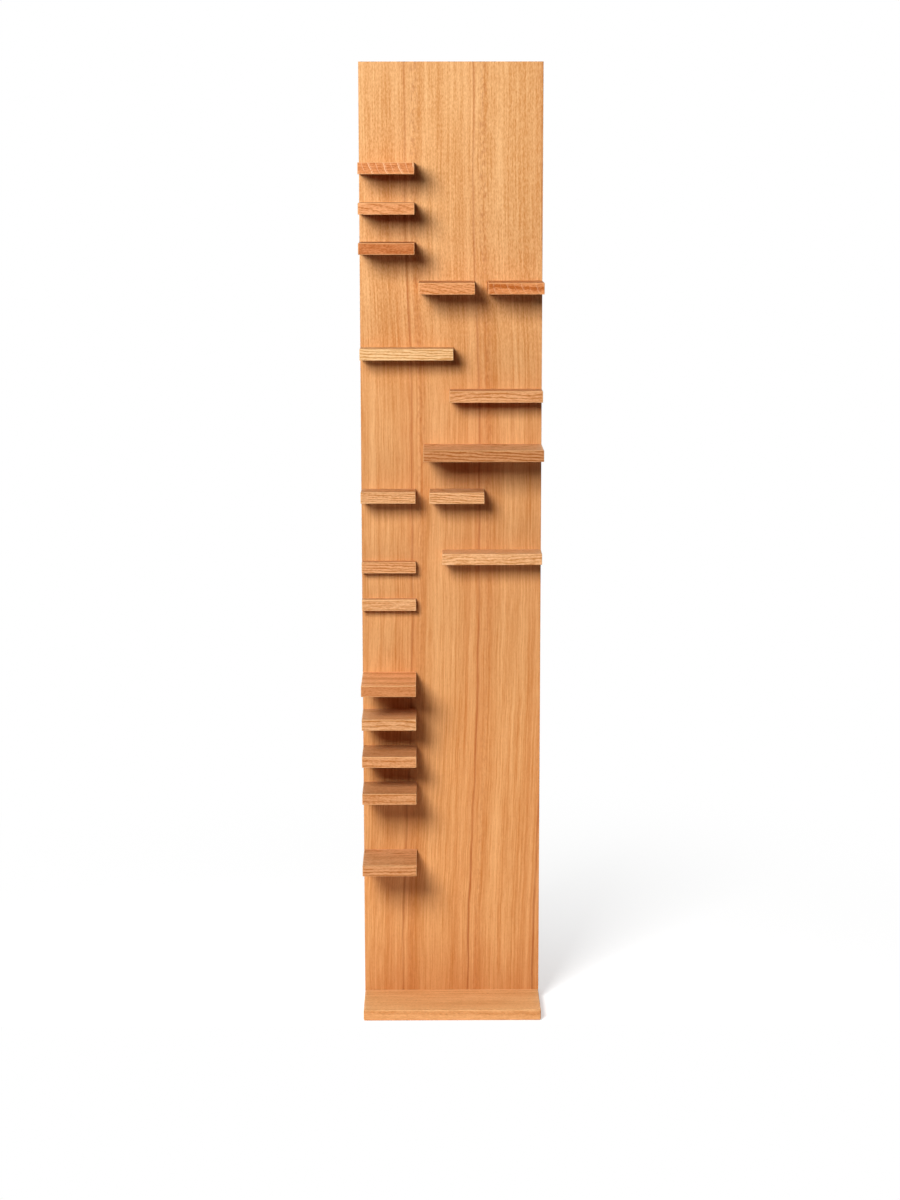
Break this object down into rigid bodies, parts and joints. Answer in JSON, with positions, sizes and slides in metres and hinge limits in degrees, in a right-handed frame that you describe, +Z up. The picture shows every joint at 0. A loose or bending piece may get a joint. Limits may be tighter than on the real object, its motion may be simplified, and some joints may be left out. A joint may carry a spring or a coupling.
{
  "type": "spine bookshelf",
  "caption": "Tall narrow free-standing oak bookshelf: an upright panel on a flat base plate, with short boards at uneven heights on its front for piles of books.",
  "frame": {"origin": "on the floor, at the middle of the base plate's underside", "axes": "+Z up; the boards stand out from the panel towards -Y; +X is to the right when facing the boards"},
  "size_m": [0.321, 0.18, 1.7],
  "materials": {
    "oak_veneer": "straight-grained slip-matched oak veneer, oiled, satin",
    "solid_oak": "solid oak boards with the grain running sideways, oiled, satin",
    "base_oak": "solid oak plate with the grain running sideways, oiled, satin",
    "lipping_oak": "solid oak strip, grain along its length, oiled",
    "core_board": "bare wood-fibre core, hidden",
    "beech": "bare turned beech dowel, hidden",
    "zinc_steel": "zinc-plated steel"
  },
  "bodies": {
    "root": {"barrel_nuts": "zinc_steel", "base_bolts": "zinc_steel", "base_dowels": "beech", "base_plate": "base_oak", "ledge_12_left": "solid_oak", "ledge_13_left": "solid_oak", "ledge_dowels": "beech", "ledge_screws": "zinc_steel", "panel_core": "core_board", "panel_lipping_left": "lipping_oak", "panel_lipping_right": "lipping_oak", "panel_lipping_top": "lipping_oak", "panel_veneer_front": "oak_veneer", "panel_veneer_rear": "oak_veneer", "shelf_01_left": "solid_oak", "shelf_02_left": "solid_oak", "shelf_03_left": "solid_oak", "shelf_04_centre": "solid_oak", "shelf_05_right": "solid_oak", "shelf_06_left_long": "solid_oak", "shelf_07_right_long": "solid_oak", "shelf_08_right_wide": "solid_oak", "shelf_09_left_slim": "solid_oak", "shelf_10_centre_slim": "solid_oak", "shelf_11_right_slim": "solid_oak", "shelf_14_left_deep": "solid_oak", "shelf_15_left": "solid_oak", "shelf_16_left": "solid_oak", "shelf_17_left": "solid_oak", "shelf_18_left_low": "solid_oak", "shelf_dowels": "beech", "shelf_screws": "zinc_steel"}
  },
  "joints": []
}
